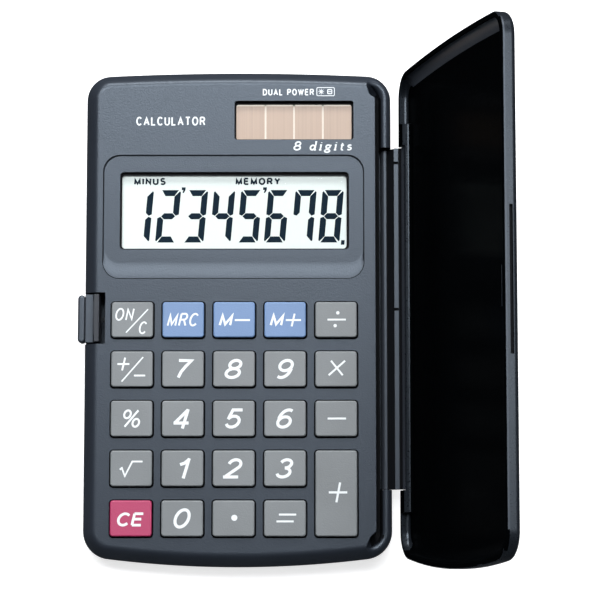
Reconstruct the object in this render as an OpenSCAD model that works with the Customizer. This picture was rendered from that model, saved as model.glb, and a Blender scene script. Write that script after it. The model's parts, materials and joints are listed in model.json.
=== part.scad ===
// Pocket calculator with a fold-round cover on a double hinge.
// Origin: centre of the flat back. +X towards the hinge, +Y towards the top of the display, +Z up.

/* [Body] */
// Width of the body
body_w = 66; // [66:0.5:68]
// Length of the body along its centre line
body_l = 107; // [106:0.5:109]
// Height of the top face above the back
body_h = 8.9; // [8.9:0.1:9.2]
// Wall thickness of the two cases
wall = 1.2; // [1:0.1:1.3]
// Height where the rear case meets the top case
split_z = 2.2; // [2.1:0.1:2.4]
// Height where the sides turn into the sloping shoulder
shoulder_z = 6.3; // [6:0.1:6.6]
// Width of the shoulder, from the outline in to the top face
shoulder_w = 2.4; // [2.2:0.1:2.6]
// Radius of the crowned top end
top_crown_r = 580; // [400:10:900]
// Radius of the crowned bottom end
bottom_crown_r = 226; // [200:2:300]
// Corner radius at the top end
top_corner_r = 5.4; // [5:0.2:6]
// Corner radius at the bottom end
bottom_corner_r = 6; // [5.4:0.2:6.4]

/* [Hinge] */
// Length of the hinge link along the side
link_l = 73.8; // [70:0.2:73.8]
// Distance between the link's two pivots
link_pitch = 5.6; // [5.6:0.1:5.7]
// Angle of the link above the back, as it stands open
link_angle = 37.5; // [20:0.5:60]
// Radius of the link's two barrels
barrel_r = 1.05; // [1:0.05:1.1]
// Radius of the hinge pins
pin_r = 0.5; // [0.4:0.05:0.55]
// Height of the body's pivot above the back
pivot_z = 3.9; // [3.8:0.1:4]

/* [Cover] */
// Depth of the cover from its outer face to its rim
cover_d = 3; // [2.8:0.1:3]
// Wall thickness of the cover
cover_wall = 1.2; // [1:0.1:1.3]
// Length of the finger groove in the free edge
groove_l = 28.2; // [20:0.2:36]

/* [Display] */
// Width of the clear window over the display
window_w = 49.2; // [46:0.1:49.5]
// Height of the clear window over the display
window_h = 16.7; // [15:0.1:16.8]
// Width of the solar window
solar_w = 25.6; // [20:0.1:26]
// Height of the solar window
solar_h = 8.4; // [6:0.1:8.6]

/* [Keys] */
// Distance between key columns
key_pitch_x = 10.9; // [10.8:0.01:10.9]
// Distance between key rows
key_pitch_y = 10.58; // [10.5:0.01:10.6]
// Width of a key
key_w = 8.9; // [8.4:0.1:9]
// Height of a key on the face
key_h = 7.6; // [7.2:0.1:7.7]
// Height of the key tops above the back
key_top_z = 9.6; // [9.3:0.1:9.6]
// How far a key travels when pressed
key_travel = 0.8; // [0.6:0.1:0.8]

/* [Latch] */
// Length of the latch button along the side
latch_l = 10.4; // [9:0.1:10.6]
// How far the latch button slides
latch_travel = 1.2; // [1:0.1:1.2]

/* [Battery] */
// Diameter of the coin cell
cell_d = 11.6; // [9.5:0.1:11.6]
// Thickness of the coin cell
cell_t = 3.1; // [2:0.1:3.1]

/* [Hidden] */
KEYS = [
  ["key_on_c", 0, 0], ["key_mrc", 1, 0], ["key_m_minus", 2, 0], ["key_m_plus", 3, 0], ["key_divide", 4, 0],
  ["key_sign", 0, 1], ["key_7", 1, 1], ["key_8", 2, 1], ["key_9", 3, 1], ["key_multiply", 4, 1],
  ["key_percent", 0, 2], ["key_4", 1, 2], ["key_5", 2, 2], ["key_6", 3, 2], ["key_minus", 4, 2],
  ["key_root", 0, 3], ["key_1", 1, 3], ["key_2", 2, 3], ["key_3", 3, 3], ["key_plus", 4, 3.5],
  ["key_ce", 0, 4], ["key_0", 1, 4], ["key_point", 2, 4], ["key_equals", 3, 4]
];
$fn = 48;
slack = 0.1;              // how far a cutting shape runs past the face it opens

// Outline
half_w = body_w / 2;
half_l = body_l / 2;
corner_steps = 6;
crown_steps = 10;

// Heights inside the body
plate_t = 1.2;            // thickness of the key plate
plate_z = body_h - plate_t;
dish_depth = 0.5;
cavity_step_z = 6;        // above this the cavity keeps clear of the shoulder
groove_z = 6.6;           // floor of the channel beside the hinge
rail_top_z = 7.5;
board_z = 3.6;
board_t = 1;
board_x = [-27.4, 27.4];
board_y = [-46.2, 14];
keypad_x = [-27.2, 27.2];
keypad_y = [-46, 5];
board_top = board_z + board_t;
rubber_t = 0.7;
dome_r = 3;
dome_top = board_top + rubber_t + key_travel + 0.3;

// Sides
face_right = 29.3;        // right edge of the top face
rail_left = 30.8;         // inner side of the rail beyond the hinge
inner_right = 28.1;       // right wall of the cavity
notch_left = 30.5;        // floor of the hinge notch
notch_y = [-37.1, 36.9];  // ends of the hinge notch in the body
sill_right = 31;          // the rear case's sill below the body's pivot
link_y = [-0.1 - link_l / 2, -0.1 + link_l / 2];
web_z = [-0.65, 0.45];    // the web between the link's barrels, across the line of the pivots
rib_x = [2.9, 4];         // the rib along the web
rib_z = 1;

// Pivots
pivot_x = half_w - 1.15;
edge_to_pivot = 1.15;     // cover's hinge edge to its pivot
face_to_pivot = 1.6;      // cover's outer face to its pivot
cover_angle = 2 * link_angle;
joint_x = pivot_x + link_pitch * cos(link_angle);
joint_z = pivot_z + link_pitch * sin(link_angle);
pin_l = 7.4;
pin_hole_l = 3.8;
link_bore_r = pin_r + 0.05;
link_bore_l = pin_l - pin_hole_l + 0.6;
cover_notch_y = [-37.2, 37];
cover_notch_u = 2.5;      // depth of the cover's hinge notch
notch_wall_t = 0.8;
end_block_l = 5;          // the blocks that hold the cover's pins
rim_gap = 0.1;            // the inner walls stop this far below the rim
catch_w = 8;              // the ledge that the hook holds
catch_t = 0.5;
catch_h = 0.7;
groove_y = 0.8;
groove_w = [1.1, 1.8];

// Display
dish_x = [-29.1, 27.15];
dish_y = [8.1, 35];
dish_r = 3.7;
dish_ramp = 3.2;          // length of the ramp at the dish's lower end
dish_draft = 0.15;
window_r = 0.8;
window_rim = 1.3;         // how far the clear window reaches under the case, all round
window_z = [7.1, 7.65];
solar_r = 0.5;
solar_rim = 0.8;
solar_z = [6.5, 7.65];
lcd_x = [-26.6, 25.2];
lcd_top_y = 33;
lcd_front_y = 12.2;       // lower end of the front glass, over the zebra strip
lcd_rear_y = 14.2;
front_glass_z = [6.45, 7.05];
rear_glass_z = [5.85, 6.4];
reflector_z = [5.65, 5.8];
window_c = [-0.78, 22.9];
solar_c = [12.05, 42.6];

// Keys
key_x0 = -22.53;          // first column
key_y0 = -0.84;           // first row
key_gap = 0.15;           // clearance round a key in the plate
key_r = 0.7;
key_edge = 0.25;          // chamfer round the key top
flange = 0.4;             // how far the hidden flange reaches past the key
flange_z = 6.8;
foot_z = 6.42;
tall_h = key_pitch_y + key_h;

// Latch
latch_y = -0.4;
recess_right = -28.35;
recess_floor = 3.6;
recess_wall = 0.8;
recess_l = latch_l + 0.6;
lip_reach = 1.5;          // how far the lip stands out of the side
tongue_z = 4.1;           // the side tongues keep the button from coming out
tongue_t = 0.7;
tongue_reach = 0.5;
spring_z = 5;
spring_r = 0.65;
spring_wire = 0.2;
spring_left = -31.7;
post_x = [-30.7, -29.7];   // the hook's post
pad_right = -31.2;        // right side of the flat pad beside the post
pad_top = 7.6;
lip_top = 7.4;
hook_l = 7.2;
hook_z = [9.05, 9.4];     // underside and top of the hook
hook_left = -31.6;
latch_bottom = recess_floor + 0.1;
sole_z = recess_floor + 0.2;
sole_top = 5.9;

// Shallow panel in the back
back_panel = [34, 18];
back_panel_c = [0, 26];
back_panel_depth = 0.15;

// Screws
boss_r = 1.7;
case_screw_at = [[-29.4, 48.3], [27.3, 49], [-29.4, -47.8], [27, -49.2]];
screw_r = 0.7;
driver_slot_w = 0.35;
screw_bore_r = 0.72;
head_r = 1.5;
head_recess_r = 1.75;
head_recess_d = 1;
case_screw_top = 6;
board_screw_at = [[-20, 8], [20, 8]];
board_boss_r = 1.4;
board_screw_r = 0.6;
stake_r = 0.45;
stake_rows = [1.5, 3.5];  // the heat stakes stand between these rows of keys
stake_cols = [0.5, 3.5];

// Parts under the board, and the leads
chip_at = [-2, 3];
chip_r = 4.3;
chip_h = 0.7;
capacitor_at = [14, 2];
capacitor_r = 1.1;
capacitor_l = 4.4;
wire_w = 0.5;
solar_lead_z = [3, 2];    // the plus lead runs over the minus lead
cell_lead_x = [-24.6, -26];

// Battery
cell_at = [-18, 42];
contact_t = 0.2;
contact_w = 4;
cell_z = wall + contact_t;
cell_ring_h = 2;

case_black = [0.16, 0.17, 0.19];
face_grey = [0.3, 0.32, 0.35];
key_grey = [0.62, 0.64, 0.66];
memory_blue = [0.45, 0.62, 0.85];
clear_pink = [0.78, 0.32, 0.5];
steel = [0.75, 0.76, 0.78];

// One crowned end: right corner, crown, left corner. right and left are the half widths there.
function end_points(crown_r, corner_r, d, right, left) =
  let (
    centre = half_l - crown_r,
    big = crown_r - d,
    r = corner_r - d,
    y_right = centre + sqrt(pow(big - r, 2) - pow(right - r, 2)),
    y_left = centre + sqrt(pow(big - r, 2) - pow(left - r, 2)),
    a_right = atan2(y_right - centre, right - r),
    a_left = atan2(y_left - centre, left - r)
  )
  concat(
    [for (i = [0:corner_steps]) let (a = a_right * i / corner_steps)
      [right - r + r * cos(a), y_right + r * sin(a)]],
    [for (i = [1:crown_steps - 1]) let (a = a_right + (180 - a_left - a_right) * i / crown_steps)
      [big * cos(a), centre + big * sin(a)]],
    [for (i = [corner_steps:-1:0]) let (a = a_left * i / corner_steps)
      [r - left - r * cos(a), y_left + r * sin(a)]]
  );

// Body outline moved in by d, with its right side at x = right
function outline(d, right) =
  concat(
    end_points(top_crown_r, top_corner_r, d, right, half_w - d),
    [for (p = end_points(bottom_crown_r, bottom_corner_r, d, half_w - d, right)) [-p[0], -p[1]]]
  );

function inset(d) = outline(d, half_w - d);

// Rectangle with round corners, centred on c
function round_rect(w, h, r, c = [0, 0], steps = 5) =
  [for (q = [[1, 1, 0], [-1, 1, 90], [-1, -1, 180], [1, -1, 270]]) for (i = [0:steps])
    let (a = q[2] + 90 * i / steps)
    [c[0] + q[0] * (w / 2 - r) + r * cos(a), c[1] + q[1] * (h / 2 - r) + r * sin(a)]];

// Rectangle given by its low and high sides
function box_points(x, y, r) =
  round_rect(x[1] - x[0], y[1] - y[0], r, [(x[0] + x[1]) / 2, (y[0] + y[1]) / 2]);

function key_centre(k) = [key_x0 + key_pitch_x * k[1], key_y0 - key_pitch_y * k[2]];
function key_height(k) = k[0] == "key_plus" ? tall_h : key_h;
function key_colour(k) =
  k[0] == "key_ce" ? clear_pink :
  (k[2] == 0 && k[1] > 0 && k[1] < 4) ? memory_blue : key_grey;

// Closed solid through rings of [points, height], each ring with the same number of points
module loft(rings) {
  n = len(rings[0][0]);
  last = len(rings) - 1;
  polyhedron(
    points = [for (ring = rings) for (p = ring[0]) [p[0], p[1], ring[1]]],
    faces = concat(
      [[for (i = [0:n - 1]) i]],
      [[for (i = [n - 1:-1:0]) last * n + i]],
      [for (k = [0:last - 1]) for (i = [0:n - 1]) let (j = (i + 1) % n)
        [k * n + i, (k + 1) * n + i, (k + 1) * n + j, k * n + j]]
    )
  );
}

// Straight block through an outline, from z0 to z1
module slab(points, z0, z1) {
  translate([0, 0, z0]) linear_extrude(z1 - z0) polygon(points);
}

// Upright cylinder from z0 to z1
module post(at, r, z0, z1) {
  translate([at[0], at[1], z0]) cylinder(r = r, h = z1 - z0);
}

// Block given by its low and high sides
module block(x, y, z) {
  translate([x[0], y[0], z[0]]) cube([x[1] - x[0], y[1] - y[0], z[1] - z[0]]);
}

// Cylinder along +Y that starts at y0
module rod(x, z, r, y0, l) {
  translate([x, y0, z]) rotate([-90, 0, 0]) cylinder(r = r, h = l);
}

module hinge_notch() {
  block([notch_left, half_w + 2], notch_y, [split_z, body_h + 1]);
  block([sill_right, half_w + 2], notch_y, [-1, split_z + slack]);
}

module latch_recess() {
  y = [latch_y - recess_l / 2, latch_y + recess_l / 2];
  block([-half_w - 1, recess_right], y, [recess_floor, body_h + 1]);
  block([-half_w + 0.6, recess_right], [y[0] - tongue_reach, y[1] + tongue_reach],
        [tongue_z - slack, tongue_z + tongue_t + slack]);
}

module display_dish() {
  floor_x = [dish_x[0] + dish_draft, dish_x[1] - dish_draft];
  floor_y = [dish_y[0] + dish_ramp, dish_y[1] - dish_draft];
  loft([
    [box_points(floor_x, floor_y, dish_r - 0.5), body_h - dish_depth],
    [box_points(dish_x, dish_y, dish_r), body_h],
    [box_points(dish_x, dish_y, dish_r), body_h + 1]
  ]);
}

module top_shell() {
  difference() {
    loft([
      [inset(0), split_z],
      [inset(0), shoulder_z],
      [inset(0.3), shoulder_z + 0.3],
      [inset(shoulder_w - 0.2), body_h - 0.2],
      [inset(shoulder_w), body_h]
    ]);
    block([face_right, half_w + 1], [-half_l - 1, half_l + 1], [groove_z, body_h + 1]);
  }
  intersection() {
    block([rail_left, half_w], [-half_l, half_l], [groove_z - 0.5, rail_top_z + 1]);
    loft([[inset(0), groove_z - 0.4], [inset(0), rail_top_z - 0.5], [inset(0.5), rail_top_z]]);
  }
}

module top_case() {
  color(face_grey)
  difference() {
    union() {
      difference() {
        top_shell();
        slab(outline(wall, inner_right), split_z - 1, cavity_step_z);
        slab(outline(shoulder_w + 0.8, inner_right), cavity_step_z - slack, plate_z);
      }
      for (at = case_screw_at) post(at, boss_r, split_z, plate_z + slack);
      for (at = board_screw_at) post(at, board_boss_r, board_top, plate_z + slack);
      for (c = stake_cols) for (r = stake_rows) {
        post(key_centre(["", c, r]), stake_r, board_z - 0.4, plate_z + slack);
      }
      block([-half_w + 1, recess_right + recess_wall],
            [latch_y - recess_l / 2 - 1.1, latch_y + recess_l / 2 + 1.1], [split_z, plate_z + slack]);
    }
    display_dish();
    slab(round_rect(window_w, window_h, window_r, window_c), plate_z - 1, body_h + 1);
    slab(round_rect(solar_w, solar_h, solar_r, solar_c), plate_z - 1, body_h + 1);
    for (k = KEYS) {
      slab(round_rect(key_w + 2 * key_gap, key_height(k) + 2 * key_gap, key_r + key_gap, key_centre(k)),
           plate_z - 1, body_h + 1);
    }
    hinge_notch();
    latch_recess();
    rod(pivot_x, pivot_z, pin_r, notch_y[0] - pin_hole_l, pin_hole_l + slack);
    rod(pivot_x, pivot_z, pin_r, notch_y[1] - slack, pin_hole_l + slack);
    for (at = case_screw_at) post(at, screw_bore_r, split_z - slack, case_screw_top + 0.2);
    for (at = board_screw_at) post(at, board_screw_r + 0.02, board_top - slack, board_top + 2.4);
  }
}

module rear_case() {
  edge = [for (a = [0:22.5:90]) [wall * (1 - sin(a)), wall * (1 - cos(a))]];
  color(case_black)
  difference() {
    union() {
      difference() {
        loft(concat([for (e = edge) [inset(e[0]), e[1]]], [[inset(0), split_z]]));
        slab(outline(wall, inner_right), wall, split_z + 1);
      }
      for (at = case_screw_at) post(at, boss_r + 0.6, wall - slack, split_z);
      difference() {
        post(cell_at, cell_d / 2 + 1.1, wall - slack, wall + cell_ring_h);
        post(cell_at, cell_d / 2 + 0.2, wall - 0.2, wall + cell_ring_h + 1);
      }
    }
    hinge_notch();
    for (at = case_screw_at) {
      post(at, head_recess_r, -1, head_recess_d);
      post(at, screw_r + 0.15, 0, split_z + 1);
    }
    slab(round_rect(back_panel[0], back_panel[1], 2, back_panel_c), -1, back_panel_depth);
  }
}

// Cover space: x from the hinge edge to the free edge, z from the outer face to the rim
module in_cover() {
  translate([joint_x, 0, joint_z]) rotate([0, -cover_angle, 0])
    translate([-edge_to_pivot, 0, -face_to_pivot]) children();
}

module cover_tray() {
  edge = [for (a = [0:22.5:90]) [wall * (1 - sin(a)), wall * (1 - cos(a))]];
  translate([half_w, 0, 0]) difference() {
    loft(concat([for (e = edge) [inset(e[0]), e[1]]],
                [[inset(0), cover_d - 0.2], [inset(0.2), cover_d]]));
    slab(inset(cover_wall), cover_wall, cover_d + 1);
  }
}

module cover() {
  notch_wall = [cover_notch_u, cover_notch_u + notch_wall_t];
  wall_z = [cover_wall - slack, cover_d - rim_gap];
  inner_free = body_w - cover_wall;
  color(case_black)
  in_cover() difference() {
    union() {
      cover_tray();
      block(notch_wall, [cover_notch_y[0] - 1, cover_notch_y[1] + 1], wall_z);
      block([0.6, notch_wall[1]], [cover_notch_y[1], cover_notch_y[1] + end_block_l], wall_z);
      block([0.6, notch_wall[1]], [cover_notch_y[0] - end_block_l, cover_notch_y[0]], wall_z);
      block([inner_free - catch_t, inner_free + slack], [latch_y - catch_w / 2, latch_y + catch_w / 2],
            [wall_z[1] - catch_h, wall_z[1]]);
    }
    block([-1, cover_notch_u], cover_notch_y, [-1, cover_d + 1]);
    block([body_w - 0.6, body_w + 1], [groove_y - groove_l / 2, groove_y + groove_l / 2], groove_w);
    rod(edge_to_pivot, face_to_pivot, pin_r, cover_notch_y[1] - slack, pin_hole_l + slack);
    rod(edge_to_pivot, face_to_pivot, pin_r, cover_notch_y[0] - pin_hole_l, pin_hole_l + slack);
  }
}

module hinge_link() {
  color(case_black)
  translate([pivot_x, 0, pivot_z]) rotate([0, -link_angle, 0]) difference() {
    union() {
      rod(0, 0, barrel_r, link_y[0], link_l);
      rod(link_pitch, 0, barrel_r, link_y[0], link_l);
      block([0, link_pitch], link_y, web_z);
      block(rib_x, link_y, [0, rib_z]);
    }
    for (x = [0, link_pitch]) {
      rod(x, 0, link_bore_r, link_y[0] - slack, link_bore_l + slack);
      rod(x, 0, link_bore_r, link_y[1] - link_bore_l, link_bore_l + slack);
    }
  }
}

// Two pins, each half in the part's hole and half in the link, given the hole mouths
module pin_pair(x, z, mouths) {
  rod(x, z, pin_r, mouths[1] + pin_hole_l - pin_l, pin_l);
  rod(x, z, pin_r, mouths[0] - pin_hole_l, pin_l);
}

module body_hinge_pins() {
  color(steel) pin_pair(pivot_x, pivot_z, notch_y);
}

module cover_hinge_pins() {
  color(steel) in_cover() pin_pair(edge_to_pivot, face_to_pivot, cover_notch_y);
}

module latch_button() {
  y = [latch_y - latch_l / 2, latch_y + latch_l / 2];
  hook_y = [latch_y - hook_l / 2, latch_y + hook_l / 2];
  color(case_black)
  difference() {
    union() {
      block([-half_w, post_x[1]], y, [sole_z, sole_top]);
      block([-half_w, pad_right], y, [sole_z, pad_top]);
      hull() {
        block([-half_w - 1, -half_w], y, [latch_bottom, lip_top]);
        block([-half_w - lip_reach, -half_w], [y[0] + 0.8, y[1] - 0.8], [latch_bottom, lip_top - 0.6]);
      }
      block(post_x, hook_y, [sole_z, hook_z[1]]);
      block([hook_left, post_x[0] + slack], hook_y, hook_z);
      block([pad_right - 0.5, post_x[1]], [y[0] - tongue_reach, y[1] + tongue_reach],
            [tongue_z, tongue_z + tongue_t]);
    }
    translate([spring_left - slack, latch_y, spring_z]) rotate([0, 90, 0])
      cylinder(r = spring_r + 0.15, h = post_x[1] - spring_left + 1);
  }
}

module latch_spring() {
  color(steel)
  translate([spring_left, latch_y, spring_z]) rotate([0, 90, 0]) difference() {
    cylinder(r = spring_r, h = recess_right - spring_left - slack);
    translate([0, 0, -1]) cylinder(r = spring_r - spring_wire, h = 6);
  }
}

module key_cap(k) {
  c = key_centre(k);
  h = key_height(k);
  foot_l = h > key_h ? 6 : 3;
  color(key_colour(k)) {
    slab(round_rect(key_w + 2 * flange, h + 2 * flange, key_r, c), flange_z, plate_z - 0.1);
    slab(round_rect(3, foot_l, 0.4, c), foot_z, flange_z + slack);
    loft([
      [round_rect(key_w, h, key_r, c), plate_z - 0.2],
      [round_rect(key_w, h, key_r, c), key_top_z - key_edge],
      [round_rect(key_w - 2 * key_edge, h - 2 * key_edge, key_r - key_edge / 2, c), key_top_z]
    ]);
  }
}

module rubber_keypad() {
  color("dimgray")
  difference() {
    union() {
      block(keypad_x, keypad_y, [board_top, board_top + rubber_t]);
      for (k = KEYS) {
        c = key_centre(k);
        translate([c[0], c[1], board_top + rubber_t])
          cylinder(r1 = dome_r, r2 = dome_r - 1, h = dome_top - board_top - rubber_t);
      }
    }
    for (k = KEYS) post(key_centre(k), dome_r - 1.4, board_top - 1, board_top + 0.5);
    for (c = stake_cols) for (r = stake_rows) {
      post(key_centre(["", c, r]), stake_r + 0.2, board_top - 1, board_top + 2);
    }
  }
}

module circuit_board() {
  color("seagreen")
  difference() {
    block(board_x, board_y, [board_z, board_top]);
    for (at = board_screw_at) post(at, board_screw_r + 0.1, board_z - 1, board_top + 1);
    for (c = stake_cols) for (r = stake_rows) {
      post(key_centre(["", c, r]), stake_r + 0.1, board_z - 1, board_top + 1);
    }
  }
}

module chip_epoxy() {
  color("black") translate([chip_at[0], chip_at[1], board_z - chip_h]) intersection() {
    cylinder(r1 = chip_r - 0.7, r2 = chip_r + 0.3, h = chip_h);
    cylinder(r = chip_r, h = chip_h);
  }
}

module capacitor() {
  color("darkkhaki") translate([capacitor_at[0], capacitor_at[1], board_z - capacitor_r]) rotate([0, 90, 0])
    cylinder(r = capacitor_r, h = capacitor_l);
}

module lcd_front_glass() {
  color("lightgray") block(lcd_x, [lcd_front_y, lcd_top_y], front_glass_z);
}

module lcd_rear_glass() {
  color("lightgray") block(lcd_x, [lcd_rear_y, lcd_top_y], rear_glass_z);
}

module lcd_reflector() {
  color("gainsboro") block(lcd_x, [lcd_rear_y, lcd_top_y], reflector_z);
}

module lcd_holder() {
  color("whitesmoke")
  difference() {
    block([lcd_x[0] - 1, lcd_x[1] + 1], [lcd_rear_y, lcd_top_y + 1],
          [board_top + 0.1, front_glass_z[0] + 0.15]);
    block([lcd_x[0] - 0.2, lcd_x[1] + 0.2], [lcd_rear_y - 1, lcd_top_y + 0.2],
          [reflector_z[0] - 0.05, body_h]);
  }
}

module zebra_strip() {
  color("dimgray") block([lcd_x[0] + 2.6, lcd_x[1] - 2.6], [lcd_front_y + 0.2, lcd_front_y + 1.4],
                         [board_top, rear_glass_z[1]]);
}

module display_window() {
  points = round_rect(window_w + 2 * window_rim, window_h + 2 * window_rim, 1, window_c);
  color([0.9, 0.95, 0.95, 0.5]) slab(points, window_z[0], window_z[1]);
}

module solar_panel() {
  points = round_rect(solar_w + 2 * solar_rim, solar_h + 2 * solar_rim, 0.4, solar_c);
  color("rosybrown") slab(points, solar_z[0], solar_z[1]);
}

// A lead of square wire along a path of [x, y] corners at one height
module lead(path, z) {
  for (i = [0:len(path) - 2]) {
    a = path[i];
    b = path[i + 1];
    block([min(a[0], b[0]) - wire_w / 2, max(a[0], b[0]) + wire_w / 2],
          [min(a[1], b[1]) - wire_w / 2, max(a[1], b[1]) + wire_w / 2], [z, z + wire_w]);
  }
}

module power_leads() {
  color("firebrick") {
    lead([[10, 40], [10, 35.5], [27, 35.5], [27, 13]], solar_lead_z[0]);
    lead([[cell_lead_x[0], 35], [cell_lead_x[0], 13], [-20, 13]], solar_lead_z[0]);
  }
  color("black") {
    lead([[14, 40], [14, 37], [25.6, 37], [25.6, 13]], solar_lead_z[1]);
    lead([[cell_lead_x[1], 35], [cell_lead_x[1], 12], [-20, 12]], solar_lead_z[1]);
  }
}

module battery_cell() {
  color(steel) {
    post(cell_at, cell_d / 2, cell_z + 0.3, cell_z + cell_t);
    post(cell_at, cell_d / 2 - 1, cell_z, cell_z + 0.4);
  }
}

module battery_contact_plus() {
  x = [cell_at[0] - contact_w / 2, cell_at[0] + contact_w / 2];
  foot_y = cell_at[1] - cell_d / 2 - 1.7;
  z = cell_z + cell_t;
  color("gold") {
    block(x, [foot_y, cell_at[1] + 3], [z, z + contact_t]);
    block(x, [foot_y, foot_y + contact_t], [wall, z + contact_t]);
  }
}

module battery_contact_minus() {
  color("gold") post(cell_at, 3.2, wall, cell_z);
}

module screw(at, r, big_r, head_z0, head_z1, tip_z) {
  difference() {
    union() {
      post(at, big_r, head_z0, head_z1);
      post(at, r, head_z1 - 0.2, tip_z);
    }
    for (a = [0, 90]) {
      translate([at[0], at[1], head_z0]) rotate(a) cube([big_r * 1.2, driver_slot_w, 0.9], center = true);
    }
  }
}

module case_screws() {
  color(steel) for (at = case_screw_at) screw(at, screw_r, head_r, 0.15, head_recess_d, case_screw_top);
}

module board_screws() {
  color(steel)
  for (at = board_screw_at) screw(at, board_screw_r, 1.2, board_z - 0.8, board_z, board_top + 2.2);
}

top_case();
rear_case();
cover();
hinge_link();
body_hinge_pins();
cover_hinge_pins();
latch_button();
latch_spring();
rubber_keypad();
circuit_board();
chip_epoxy();
capacitor();
lcd_front_glass();
lcd_rear_glass();
lcd_reflector();
lcd_holder();
zebra_strip();
display_window();
solar_panel();
power_leads();
battery_cell();
battery_contact_plus();
battery_contact_minus();
case_screws();
board_screws();
for (k = KEYS) key_cap(k);
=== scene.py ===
"""Looks of the pocket calculator with a fold-round cover.

Lengths are in millimetres, made into metres by MM.
"""
import json
import math

import bpy
from mathutils import Matrix, Vector


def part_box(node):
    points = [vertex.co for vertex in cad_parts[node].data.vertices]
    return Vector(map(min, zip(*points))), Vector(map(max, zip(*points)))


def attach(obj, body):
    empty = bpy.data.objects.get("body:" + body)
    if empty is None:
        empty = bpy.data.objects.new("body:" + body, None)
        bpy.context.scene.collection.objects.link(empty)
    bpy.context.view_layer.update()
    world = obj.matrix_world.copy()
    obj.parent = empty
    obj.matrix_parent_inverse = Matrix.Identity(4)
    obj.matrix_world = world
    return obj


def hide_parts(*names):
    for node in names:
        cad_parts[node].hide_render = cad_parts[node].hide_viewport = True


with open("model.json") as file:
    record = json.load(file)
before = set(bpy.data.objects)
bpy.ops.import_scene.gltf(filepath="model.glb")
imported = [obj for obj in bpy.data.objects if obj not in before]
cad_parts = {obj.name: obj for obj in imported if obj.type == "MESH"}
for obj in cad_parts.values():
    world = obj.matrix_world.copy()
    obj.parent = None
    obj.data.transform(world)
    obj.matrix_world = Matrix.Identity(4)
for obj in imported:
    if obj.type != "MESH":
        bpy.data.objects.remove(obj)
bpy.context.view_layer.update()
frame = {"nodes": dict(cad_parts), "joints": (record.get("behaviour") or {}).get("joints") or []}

MM = 0.001
SCENE = bpy.context.scene


# ---- sizes taken from the frame
def node_box(name):
    """Low and high corner of a CAD node, in millimetres."""
    low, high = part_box(name)
    return low / MM, high / MM


def joint_point(name):
    """A joint's place."""
    joint = next(j for j in frame["joints"] if j["name"] == name)
    return Vector(joint["pos_m"]) / MM


CASE_LOW, CASE_HIGH = node_box("top_case")
HALF_W = CASE_HIGH.x
HALF_L = CASE_HIGH.y
SPLIT_Z = CASE_LOW.z
FACE_Z = CASE_HIGH.z
PIVOT = joint_point("link_hinge")
JOINT = joint_point("cover_hinge")
LINK_ANGLE = math.atan2(JOINT.z - PIVOT.z, JOINT.x - PIVOT.x)
LINK_PITCH = math.hypot(JOINT.z - PIVOT.z, JOINT.x - PIVOT.x)
COVER_ANGLE = 2 * LINK_ANGLE
EDGE_TO_PIVOT = HALF_W - PIVOT.x
KEY_NAMES = [name for name in sorted(frame["nodes"]) if name.startswith("key_")]

# the cover, with heights from its outer face
COVER_DEPTH = 3.0
COVER_WALL = 1.2
FACE_TO_PIVOT = 1.6
RIM_LINE = COVER_DEPTH - 0.7  # the free rim gets painted shade above this, so it is darker
COVE = 3.0  # width of the hollow curve along the plain walls
HINGE_COVE = 0.8
COVER_NOTCH_Y = (-37.2, 37.0)
COVER_NOTCH_U = 2.5  # how far the notch reaches in from the hinge edge
BLOCK_STEP = 2.1  # the wall is thicker by this round the notch,
END_BLOCK = 5.0  # and past each end of it by this length

# the body
NOTCH_Y = (-37.1, 36.9)
NOTCH_LEFT = 30.5  # where the notch starts in the top case,
SILL_RIGHT = 31.0  # and in the rear case, whose sill stays below the body's pivot
BORE = 0.5  # radius and length of the holes for the hinge pins
BORE_LENGTH = 3.8
TOP_CROWN, TOP_CORNER = 580.0, 5.4  # radii of the two ends
BOTTOM_CROWN, BOTTOM_CORNER = 226.0, 6.0
CORNER_STEPS = 22
CROWN_STEPS = 20
CORNER_EASE = 2.2  # how late round a corner the plain sides' profile takes over
CASE_WALL = 1.2
TOP_WALL = 1.3
SHOULDER_WALL = 3.4
HINGE_WALL = 4.9
PLATE_Z = FACE_Z - 1.2  # underside of the face plate
OUTSIDE = 36.0  # cutters end here, past the sides,
ABOVE = 12.0  # and here, over the face

DISH_LOW, DISH_HIGH = (-29.1, 8.1), (27.15, 35.0)  # the recess round the display
DISH_CORNER = 3.6
DISH_DEPTH = 0.45
DISH_LIP = 0.13  # depth of the small step at its edge
DISH_RAMP = 3.6  # length of the ramp at its lower end

WINDOW_LEDGE = 1.3  # how far the windows reach under the face plate
SOLAR_LEDGE = 0.8
FLANGE = 0.4  # a key's rim under the face plate
KEY_CORNER = 0.65
PRINT_LIFT = 0.008  # printed ink stands this far off its surface
LAYER = 0.002  # and crossing strokes this far off each other
SHARP_ANGLE = 32.0  # edges above this stay crisp
FLAT_AREA = 60 * MM * MM  # larger faces are shaded flat
GRAIN_HEIGHT = 0.03 * MM
FILM_HEIGHT = 0.01 * MM


# ---- outlines
def arc(centre, radius, start, end, steps):
    """Points along an arc, angles in degrees, both ends kept."""
    points = []
    for i in range(steps + 1):
        a = math.radians(start + (end - start) * i / steps)
        points.append((centre[0] + radius * math.cos(a), centre[1] + radius * math.sin(a)))
    return points


def rounded_rect(low, high, radius, steps=6):
    """Rectangle with round corners, counter-clockwise from the top right corner."""
    half_side = min(high[0] - low[0], high[1] - low[1]) / 2
    radius = max(min(radius, half_side - 1e-3), 0.01)
    corners = ((high[0] - radius, high[1] - radius), (low[0] + radius, high[1] - radius),
               (low[0] + radius, low[1] + radius), (high[0] - radius, low[1] + radius))
    points = []
    for k, centre in enumerate(corners):
        points += arc(centre, radius, 90 * k, 90 * k + 90, steps)
    return points


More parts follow.
